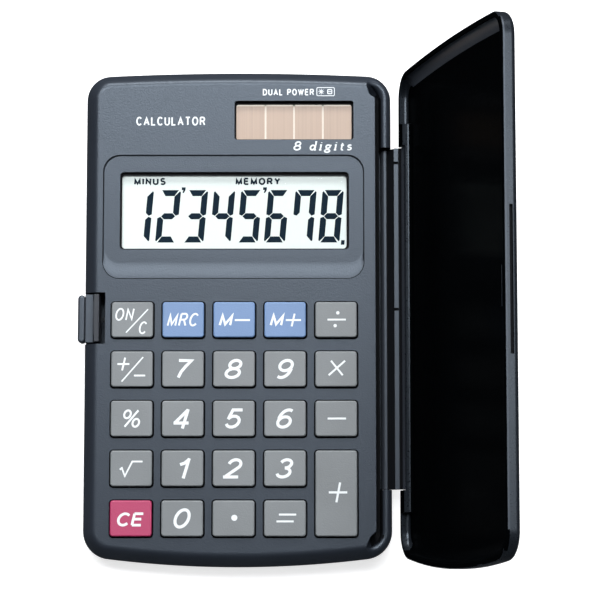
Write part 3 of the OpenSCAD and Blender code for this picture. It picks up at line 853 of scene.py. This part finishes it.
def cover():
    """The tray with its notch for the link, a bead along it, a bearing at each end and the latch's step."""
    notch_x = COVER_NOTCH_U - HALF_W
    y_low, y_high = COVER_NOTCH_Y
    obj = object_of("cover_shell", moved(cover_blank(), COVER_MATRIX), COVER)
    # painted shade on the rim
    paint(obj, COVER_SHADE, lambda centre: centre.z > COVER_DEPTH - 0.01, place=COVER_MATRIX)
    # the whole inside gets painted shade
    boolean(obj, [cover_hollow()], material=COVER_SHADE, place=COVER_MATRIX)
    over_bead = rounded_block((notch_x - 0.1, y_low, COVER_WALL + 0.95),
                              (notch_x + 1.8, y_high, COVER_DEPTH + 1), 0.1, 0.02)
    boolean(obj, [over_bead], place=COVER_MATRIX)
    bead = along_y(notch_x + 0.05, COVER_WALL + 0.6, 0.75, y_low - 0.5, y_high + 0.5)
    boolean(obj, [bead], "UNION", place=COVER_MATRIX)
    notch = rounded_block((-HALF_W - 2, y_low, -1), (notch_x, y_high, 5), 0.3, 0.1)
    bore = pivot_rod(BORE, y_low - BORE_LENGTH, y_high + BORE_LENGTH)
    finger_groove = rounded_block((HALF_W - 0.6, -13.3, 1.1), (HALF_W + 2, 14.9, 1.8), 0.3, 0.1)
    # the notch, bore and finger groove get painted shade
    boolean(obj, [notch, bore, finger_groove], material=PAINTED_SHADE, place=COVER_MATRIX)
    latch_step = rounded_block((HALF_W - COVER_WALL - 0.5, -4.4, COVER_DEPTH - 0.8),
                               (HALF_W - COVER_WALL + 0.3, 3.6, COVER_DEPTH - 0.12), 0.15, 0.1)
    bearings = [pivot_rod(1.1, y_high + 0.02, y_high + 1.3), pivot_rod(1.1, y_low - 1.3, y_low - 0.02)]
    boolean(obj, [latch_step] + bearings, "UNION", place=COVER_MATRIX)
    boolean(obj, [bore], place=COVER_MATRIX)
    paint_cover(obj)
    finish_mesh(obj, "cover")
    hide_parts("cover")


# ---- latch
def latch():
    """The sprung button: a lip to push, a pad on the case's shoulder, and a post with the barb on top."""
    low, high = node_box("latch_button")
    y0, y1 = low.y + 0.5, high.y - 0.5
    lip = rounded_block((low.x, y0 + 0.05, 3.72), (-32.86, y1 - 0.05, 7.0), 1.3, 0.5, 6)
    neck = rounded_block((-33.4, y0 + 0.4, 3.72), (-31.3, y1 - 0.4, 5.5), 0.1, 0.1)
    pad = rounded_block((-32.8, y0, 3.8), (-31.04, y1, 7.7), 0.1, 0.14)
    foot = rounded_block((-31.4, y0, 3.8), (-29.7, y1, 5.9), 0.12, 0.12)
    post = rounded_block((-30.82, y0 + 0.1, 3.9), (-29.7, y1 - 0.1, high.z), 0.12, 0.14)
    barb = rounded_block((-30.92, y0 + 1.6, 9.05), (-30.4, y1 - 1.6, high.z - 0.05), 0.08, 0.06)
    guide = rounded_block((-31.7, low.y, 4.15), (-29.8, high.y, 4.75), 0.1, 0.1)
    obj = object_of("latch", lip, HINGE)
    for part in (neck, pad, foot, post, barb, guide):
        boolean(obj, [part], "UNION")
    paint(obj, SHADED, lambda centre: centre.x > -30.95)
    # a thin strip of painted shade in the gap beside the post
    paint(obj, PAINTED_SHADE, lambda centre: -31.05 < centre.x < -30.8 and centre.z < 9.0)
    finish_mesh(obj, "latch")
    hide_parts("latch_button")


def latch_spring():
    """A wound wire in place of the plain tube."""
    low, high = node_box("latch_spring")
    centre = (low + high) / 2
    wire, margin = 0.09, 0.1
    radius = (high.z - low.z) / 2 - margin
    curve = bpy.data.curves.new("spring", "CURVE")
    curve.dimensions = "3D"
    curve.bevel_depth = wire * MM
    curve.bevel_resolution = 3
    spline = curve.splines.new("POLY")
    turns, steps = 6, 24
    last = turns * steps
    spline.points.add(last)
    for i in range(last + 1):
        a = 2 * math.pi * i / steps
        x = low.x + margin + (high.x - low.x - 2 * margin) * i / last
        point = Vector((x, centre.y + radius * math.cos(a), centre.z + radius * math.sin(a))) * MM
        spline.points[i].co = (*point, 1)
    obj = bpy.data.objects.new("spring", curve)
    SCENE.collection.objects.link(obj)
    curve.materials.append(SPRING_STEEL)
    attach(obj, "case")
    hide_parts("latch_spring")


# ---- keys and their legends
def key_colour(name):
    """A key's material and its slot."""
    if name == "key_ce":
        return KEY_PINK, "key_pink"
    if name in ("key_mrc", "key_m_minus", "key_m_plus"):
        return KEY_BLUE, "key_blue"
    return KEY_GREY, "key_grey"


def key_cap(name):
    """A cap with a rim under the face plate, a rounded top edge and a foot on the keypad's dome."""
    low, high = node_box(name)
    x0, y0, x1, y1 = low.x + FLANGE, low.y + FLANGE, high.x - FLANGE, high.y - FLANGE
    edge = 0.3

    def ring(grow, z):
        return flat_ring(grown_rect((x0, y0), (x1, y1), KEY_CORNER, grow), z)

    rings = [ring(FLANGE, 6.8), ring(FLANGE, 7.6), ring(0, 7.62)]
    rings += [ring(-edge * side, high.z - edge * end) for end, side in quarter(6)]
    middle_x, middle_y = (x0 + x1) / 2, (y0 + y1) / 2
    half_w, half_l = 1.5, (y1 - y0) / 2 - 2.3
    foot = rounded_block((middle_x - half_w, middle_y - half_l, low.z),
                         (middle_x + half_w, middle_y + half_l, 7.0), 0.4, 0.1)
    material, slot = key_colour(name)
    obj = object_of("cap_" + name, loft(rings), material)
    boolean(obj, [foot], "UNION")
    # painted shade on the cap's sides below the rounded top edge
    paint(obj, PAINTED_SHADE, lambda centre: centre.z < high.z - edge - 0.15)
    finish_mesh(obj, name)
    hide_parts(name)


def bow(x, y, rx, ry, start, end, steps=12):
    """Points along an elliptical arc, angles in degrees."""
    angles = [math.radians(start + (end - start) * i / steps) for i in range(steps + 1)]
    return [(x + rx * math.cos(a), y + ry * math.sin(a)) for a in angles]


def glyphs():
    """Centre lines of the characters, one unit high: {character: (width, lines)}."""
    stem = [(0, 0), (0, 1)]
    six = [bow(0.29, 0.3, 0.27, 0.3, 0, 360, 20), bow(0.36, 0.45, 0.34, 0.55, 62, 178)]
    return {
        " ": (0.2, []),
        "0": (0.58, [bow(0.29, 0.5, 0.29, 0.5, 0, 360, 24)]),
        "1": (0.34, [[(0.02, 0.72), (0.2, 0.8), (0.32, 0.98)], [(0.34, 1.08), (0.34, -0.08)]]),
        "2": (0.58, [bow(0.29, 0.72, 0.26, 0.28, 172, -30) + [(0.04, 0.04)], [(-0.06, 0), (0.6, 0)]]),
        "3": (0.58, [bow(0.28, 0.76, 0.24, 0.24, 160, -90), bow(0.28, 0.26, 0.28, 0.26, 90, -165)]),
        "4": (0.6, [[(0.42, -0.08), (0.42, 1.04)], [(0.42, 1), (0.02, 0.26)], [(-0.04, 0.24), (0.62, 0.24)]]),
        "5": (0.58, [[(0.56, 1), (0.14, 1), (0.05, 0.46)], bow(0.28, 0.32, 0.28, 0.32, 148, -155)]),
        "6": (0.58, six),
        "7": (0.58, [[(0, 1), (0.58, 1), (0.38, 0.66), (0.25, 0.34), (0.2, 0)]]),
        "8": (0.58, [bow(0.29, 0.76, 0.24, 0.24, 0, 360, 20), bow(0.29, 0.26, 0.29, 0.26, 0, 360, 20)]),
        "9": (0.58, [[(0.58 - x, 1 - y) for x, y in line] for line in six]),
        "A": (0.66, [[(0, 0), (0.33, 1), (0.66, 0)], [(0.11, 0.32), (0.55, 0.32)]]),
        "C": (0.64, [bow(0.34, 0.5, 0.34, 0.5, 42, 318, 20)]),
        "D": (0.62, [[(0, 0), (0, 1), (0.25, 1)] + bow(0.25, 0.5, 0.37, 0.5, 80, -80) + [(0.25, 0), (0, 0)]]),
        "E": (0.52, [stem, [(0, 1), (0.52, 1)], [(0, 0.53), (0.48, 0.53)], [(0, 0), (0.54, 0)]]),
        "I": (0.0, [stem]),
        "L": (0.48, [[(0, 1), (0, 0), (0.48, 0)]]),
        "M": (0.7, [[(0, 0), (0, 1), (0.35, 0.04), (0.7, 1), (0.7, 0)]]),
        "N": (0.58, [[(0, 0), (0, 1), (0.58, 0), (0.58, 1)]]),
        "O": (0.7, [bow(0.35, 0.5, 0.35, 0.5, 0, 360, 24)]),
        "P": (0.54, [stem, [(0, 1), (0.3, 1)] + bow(0.3, 0.74, 0.24, 0.26, 80, -80)
                     + [(0.3, 0.48), (0, 0.48)]]),
        "R": (0.6, [stem, [(0, 1), (0.34, 1)] + bow(0.34, 0.75, 0.23, 0.25, 80, -80)
                    + [(0.34, 0.5), (0, 0.5)], [(0.34, 0.5), (0.6, 0)]]),
        "S": (0.56, [bow(0.28, 0.75, 0.24, 0.25, 30, 250) + bow(0.28, 0.25, 0.28, 0.25, 70, -150)]),
        "T": (0.6, [[(0, 1), (0.6, 1)], [(0.3, 1), (0.3, 0)]]),
        "U": (0.58, [[(0, 1)] + bow(0.29, 0.29, 0.29, 0.29, 180, 360) + [(0.58, 1)]]),
        "W": (0.9, [[(0, 1), (0.23, 0), (0.45, 0.94), (0.67, 0), (0.9, 1)]]),
        "Y": (0.62, [[(0, 1), (0.31, 0.45), (0.62, 1)], [(0.31, 0.45), (0.31, 0)]]),
        "%": (0.9, [bow(0.18, 0.76, 0.18, 0.24, 0, 360, 18), bow(0.74, 0.24, 0.18, 0.24, 0, 360, 18),
                    [(0.74, 1), (0.16, 0)]]),
        "d": (0.5, [bow(0.22, 0.29, 0.21, 0.29, 0, 360, 18), [(0.36, 1), (0.46, 1), (0.46, 0), (0.58, 0)]]),
        "g": (0.46, [bow(0.22, 0.4, 0.19, 0.21, 0, 360, 18), [(0.38, 0.52), (0.52, 0.58)],
                     [(0.12, 0.2), (0.08, 0.06)] + bow(0.22, -0.14, 0.24, 0.17, 60, -240)]),
        "i": (0.2, [[(0, 0.6), (0.11, 0.6), (0.11, 0)], [(0, 0), (0.22, 0)], [(0.11, 0.86), (0.11, 0.94)]]),
        "s": (0.36, [bow(0.18, 0.46, 0.15, 0.14, 30, 250) + bow(0.18, 0.16, 0.18, 0.16, 70, -150)]),
        "t": (0.3, [[(0.12, 0.85)] + bow(0.24, 0.12, 0.12, 0.13, 180, 300), [(0, 0.58), (0.3, 0.58)]])}


def stroke(line, width):
    """A line of points drawn out to a flat band with mitred corners."""
    points = [Vector(p) for p in line]
    closed = (points[0] - points[-1]).length < 1e-6
    if closed:
        points = points[:-1]
    n = len(points)
    left, right = [], []
    for i, point in enumerate(points):
        before = points[i - 1] if closed or i > 0 else None
        after = points[(i + 1) % n] if closed or i < n - 1 else None
        a = (point - before).normalized() if before is not None else (after - point).normalized()
        b = (after - point).normalized() if after is not None else a
        normal = Vector((-a.y - b.y, a.x + b.x)).normalized()
        cosine = normal.dot(Vector((-b.y, b.x)))
        inner, outer = width / 2 / max(cosine, 0.15), width / 2 / max(cosine, 0.6)
        turns_left = a.x * b.y - a.y * b.x > 0
        left.append(point + normal * (inner if turns_left else outer))
        right.append(point - normal * (outer if turns_left else inner))
    verts = [(p.x, p.y, 0.0) for p in left + right]
    count = n if closed else n - 1
    faces = [(i, n + i, n + (i + 1) % n, (i + 1) % n) for i in range(count)]
    return verts, faces


def stacked(parts):
    """Flat parts as one, each a hair above the last, so that crossing strokes don't share a plane."""
    return merged([moved(part, Matrix.Translation((0, 0, LAYER * i))) for i, part in enumerate(parts)])


def lettering(text, height, width, slant=0.0, squeeze=1.0, gap=0.24):
    """A word of stroked letters, centred on the origin; height is overall and width is the stroke's."""
    shapes = glyphs()
    scale = height - width
    parts, cursor = [], 0.0
    for letter in text:
        advance, lines = shapes[letter]
        for line in lines:
            parts.append(stroke([((cursor + x) * scale * squeeze + y * scale * slant, y * scale)
                                 for x, y in line], width))
        cursor += advance + gap + width / scale / squeeze
    total = (cursor - gap - width / scale / squeeze) * scale * squeeze + slant * scale
    return moved(stacked(parts), Matrix.Translation((-total / 2, -scale / 2, 0)))


def bars(places, width):
    """Straight bars between pairs of points."""
    return stacked([stroke(place, width) for place in places])


def dot(centre, radius):
    """A round spot."""
    ring = arc(centre, radius, 0, 345, 23)
    return [(x, y, 0.0) for x, y in ring], [tuple(range(len(ring)))]


def shifted(part, x, y):
    """A flat part moved in its plane."""
    return moved(part, Matrix.Translation((x, y, 0)))


def legend_part(name):
    """A key's printed legend, centred on the key."""
    if name[4:].isdigit():
        return lettering(name[4:], 4.3, 0.64, slant=0.3, squeeze=1.32)
    if name == "key_mrc":
        return lettering("MRC", 2.9, 0.38, slant=0.24, squeeze=0.92, gap=0.17)
    if name == "key_ce":
        return shifted(lettering("CE", 2.95, 0.54, slant=0.24, squeeze=1.45, gap=0.1), -0.1, -0.22)
    if name in ("key_m_minus", "key_m_plus"):
        signs = [((0.15, -0.1), (3.4, -0.1))]
        if name == "key_m_plus":
            signs.append(((2.04, 1.28), (1.4, -1.45)))
        letter = lettering("M", 2.85, 0.5, slant=0.26, squeeze=1.34)
        return merged([shifted(letter, -1.66, 0), bars(signs, 0.4)])
    if name == "key_on_c":
        upper = lettering("ON", 2.75, 0.34, slant=0.18, squeeze=0.9, gap=0.2)
        lower = lettering("C", 2.75, 0.34, slant=0.18, squeeze=0.86)
        slash = bars([((3.36, 2.25), (-1.32, -2.77))], 0.27)
        return merged([shifted(upper, -1.66, 1.15), shifted(lower, 2.3, -1.74), slash])
    if name == "key_sign":
        signs = [((-3.1, 1.06), (-0.55, 1.06)), ((-1.45, 2.43), (-2.08, -0.3)), ((0.47, -1.4), (2.85, -1.4))]
        return merged([bars(signs, 0.38), bars([((2.38, 2.55), (-2.17, -2.68))], 0.29)])
    if name == "key_percent":
        return lettering("%", 3.9, 0.42, slant=0.2, squeeze=1.1)
    if name == "key_root":
        return stroke([(-2.38, -0.26), (-1.96, 0.1), (-1.32, -1.7), (0.26, 1.45), (2.43, 1.45)], 0.36)
    if name == "key_divide":
        bar = bars([((-1.83, 0), (2.08, 0))], 0.38)
        return merged([bar, dot((0.38, 1.45), 0.36), dot((-0.2, -1.3), 0.36)])
    if name == "key_multiply":
        return bars([((-1.1, 1.75), (1.4, -1.35)), ((1.9, 1.75), (-1.6, -1.35))], 0.4)
    if name == "key_minus":
        return bars([((-1.83, 0), (2.08, 0))], 0.4)
    if name == "key_plus":
        return bars([((-1.6, 0.2), (2.3, 0.2)), ((0.8, 2.3), (0, -1.9))], 0.46)
    if name == "key_equals":
        return bars([((-1.28, 0.81), (2.38, 0.81)), ((-1.8, -0.64), (1.83, -0.64))], 0.4)
    return dot((0.17, 0.13), 0.64)


def legend(name):
    """The print on one key; it moves with the key."""
    low, high = node_box(name)
    place = Matrix.Translation(((low.x + high.x) / 2, (low.y + high.y) / 2, high.z + PRINT_LIFT))
    obj = piece("legend_" + name[4:], moved(legend_part(name), place), WHITE_INK, name)


# ---- display
SEGMENTS = {"1": "bc", "2": "abged", "3": "abgcd", "4": "fgbc", "5": "afgcd", "6": "afgedc", "7": "abcf",
            "8": "abcdefg"}
DIGIT_W, DIGIT_H, BAR = 4.6, 11.45, 1.32
DIGIT_PITCH = 5.87
DIGIT_RIGHT, DIGIT_BASE = 22.85, 16.15
DIGIT_SLANT = math.tan(math.radians(5))
MARK_Y = 29.5  # middle of the small words


def segment_shape(key):
    """Outline of one bar of a digit whose lower left corner is the origin."""
    w, h, b = DIGIT_W, DIGIT_H, BAR
    gap, chamfer = 0.1, 0.38
    mid, end = h / 2, chamfer + gap
    shapes = {
        "a": [(end, h), (w - end, h), (w - b - gap + 0.1, h - b), (b + gap - 0.1, h - b)],
        "d": [(end, 0), (b + gap - 0.1, b), (w - b - gap + 0.1, b), (w - end, 0)],
        "g": [(b / 2 + gap, mid), (b + gap, mid + b / 2), (w - b - gap, mid + b / 2), (w - b / 2 - gap, mid),
              (w - b - gap, mid - b / 2), (b + gap, mid - b / 2)],
        "f": [(0, h - end), (chamfer * 0.6, h - chamfer * 0.4 - gap), (b, h - b - gap),
              (b, mid + b / 2 + gap), (b / 2, mid + gap), (0, mid + gap + 0.3)],
        "e": [(0, end), (0, mid - gap - 0.3), (b / 2, mid - gap), (b, mid - b / 2 - gap), (b, b + gap),
              (chamfer * 0.6, chamfer * 0.4 + gap)]}
    if key in shapes:
        return shapes[key]
    partner = {"b": "f", "c": "e"}[key]
    return [(w - x, y) for x, y in shapes[partner]]


def lcd_segments():
    """The eight digits with their commas, the point and the two small words."""
    z = node_box("lcd_front_glass")[1].z + PRINT_LIFT
    flats = []
    for place, digit in enumerate("12345678"):
        x0 = DIGIT_RIGHT - DIGIT_W - DIGIT_PITCH * (7 - place) - DIGIT_H * DIGIT_SLANT
        for key in SEGMENTS[digit]:
            flats.append([(x0 + x + y * DIGIT_SLANT, DIGIT_BASE + y) for x, y in segment_shape(key)])
    for x in (-11.9, 5.7):
        flats.append([(x - 0.35, 28.2), (x + 0.5, 28.2), (x + 0.45, 27.6), (x + 0.1, 26.95),
                      (x - 0.2, 27.0), (x, 27.6), (x - 0.35, 27.6)])
    flats.append([(22.15, 15.65), (22.9, 15.65), (23.0, 16.65), (22.25, 16.65)])
    parts = [(flat_ring(flat, 0), [tuple(range(len(flat)))]) for flat in flats]
    for word, x in (("MINUS", -19.15), ("MEMORY", 4.24)):
        parts.append(shifted(lettering(word, 1.6, 0.38, squeeze=1.26, gap=0.2), x, MARK_Y))
    obj = piece("lcd_segments", moved(merged(parts), Matrix.Translation((0, 0, z))), LCD_INK, "case")


def border(name, node, ledge, radius, inset, lift):
    """Black frame on a window, round its hole, part print and part painted shade: it is wider at the top and
    right, where the hole's wall shades the window. inset is (left, bottom, right, top).
    """
    low, high = node_box(node)
    left, bottom, right, top = (ledge + share for share in inset)
    outer = rounded_rect((low.x + ledge - 0.35, low.y + ledge - 0.35),
                         (high.x - ledge + 0.35, high.y - ledge + 0.35), radius + 0.35)
    inner = rounded_rect((low.x + left, low.y + bottom), (high.x - right, high.y - top), radius)
    n = len(outer)
    faces = [(i, (i + 1) % n, n + (i + 1) % n, n + i) for i in range(n)]
    return piece(name, (flat_ring(outer + inner, high.z + lift), faces), BORDER_AND_SHADE, "case")


def display():
    """The LCD, the clear window over it and the black frame on the window, part print and part painted shade.
    """
    low, high = node_box("lcd_front_glass")
    face = piece("lcd_panel", rounded_block(low, high, 0.1, 0.05, 2), LCD_FACE, "case")
    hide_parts("lcd_front_glass")
    low, high = node_box("display_window")
    window = piece("window", rounded_block(low, high, 1.0, 0.08, 3), CLEAR, "case")
    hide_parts("display_window")
    frame_ring = border("window_border_and_shade", "display_window", WINDOW_LEDGE, 0.75, (0.3, 0.2, 0.42, 0.5),
                        PRINT_LIFT)
    lcd_segments()


def solar():
    """The solar panel with its pale dividers and the dark frame round it, part print and part painted shade.
    """
    low, high = node_box("solar_panel")
    panel = piece("solar_plate", rounded_block(low, high, 0.4, 0.08, 3), SOLAR, "case")
    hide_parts("solar_panel")
    left, right, bottom, top = low.x + 1.05, high.x - 1.15, low.y + 1.1, high.y - 1.4
    half = 0.2
    parts = []
    for share in (0.255, 0.502, 0.752):
        x = left + (right - left) * share
        parts.append(flat_rect(x - half, bottom, x + half, top))
    parts.append(flat_rect(left, top - 0.3, right, top))
    place = Matrix.Translation((0, 0, high.z + PRINT_LIFT))
    lines = piece("solar_dividers", moved(merged(parts), place), SOLAR_LINE, "case")
    rim = border("solar_border_and_shade", "solar_panel", SOLAR_LEDGE, 0.45, (0.3, 0.12, 0.35, 0.6), 2 * PRINT_LIFT)


def icon_box():
    """Sun and cell signs in a small frame."""
    rays = []
    for k in range(4):
        a = math.radians(45 * k)
        dx, dy = 0.62 * math.cos(a), 0.62 * math.sin(a)
        rays.append(((-0.95 - dx, -dy), (-0.95 + dx, dy)))
    frame_line = rounded_rect((-1.9, -0.9), (1.9, 0.9), 0.25, 3)
    cell = rounded_rect((0.45, -0.45), (1.35, 0.45), 0.15, 3)
    return merged([stroke(frame_line + frame_line[:1], 0.16), bars(rays, 0.12), dot((-0.95, 0), 0.3),
                   stroke(cell + cell[:1], 0.2), bars([((0.5, 0), (1.3, 0))], 0.16)])


def face_print():
    """White print on the top face."""
    parts = [shifted(lettering("CALCULATOR", 1.95, 0.32, squeeze=0.92, gap=0.2), -14.6, 42.4),
             shifted(lettering("DUAL POWER", 1.45, 0.26, squeeze=0.94, gap=0.2), 10.85, 48.75),
             shifted(icon_box(), 18.9, 48.85),
             shifted(lettering("8 digits", 2.05, 0.32, slant=0.22, squeeze=1.3), 18.35, 36.95)]
    place = Matrix.Translation((0, 0, FACE_Z + PRINT_LIFT))
    obj = piece("face_print", moved(merged(parts), place), WHITE_INK, "case")


# ---- inner pieces keep their CAD shape
INNER = {"rubber_keypad": RUBBER, "circuit_board": BOARD, "chip_epoxy": EPOXY, "capacitor": EPOXY,
         "lcd_rear_glass": GLASS_EDGE, "lcd_reflector": LCD_FACE, "lcd_holder": HOLDER, "zebra_strip": RUBBER,
         "power_leads": WIRE, "battery_cell": STEEL, "battery_contact_plus": BRASS,
         "battery_contact_minus": BRASS, "board_screws": STEEL, "body_hinge_pins": STEEL,
         "cover_hinge_pins": STEEL}


def inner_pieces():
    """Gives the pieces inside the case their materials."""
    for name, material in INNER.items():
        obj = frame["nodes"][name]
        obj.data.materials.clear()
        obj.data.materials.append(material)


add_camera()
add_stage()
top_case()
rear_case()
case_screws()
hinge_link()
cover()
latch()
latch_spring()
for key_name in KEY_NAMES:
    key_cap(key_name)
    legend(key_name)
display()
solar()
face_print()
inner_pieces()
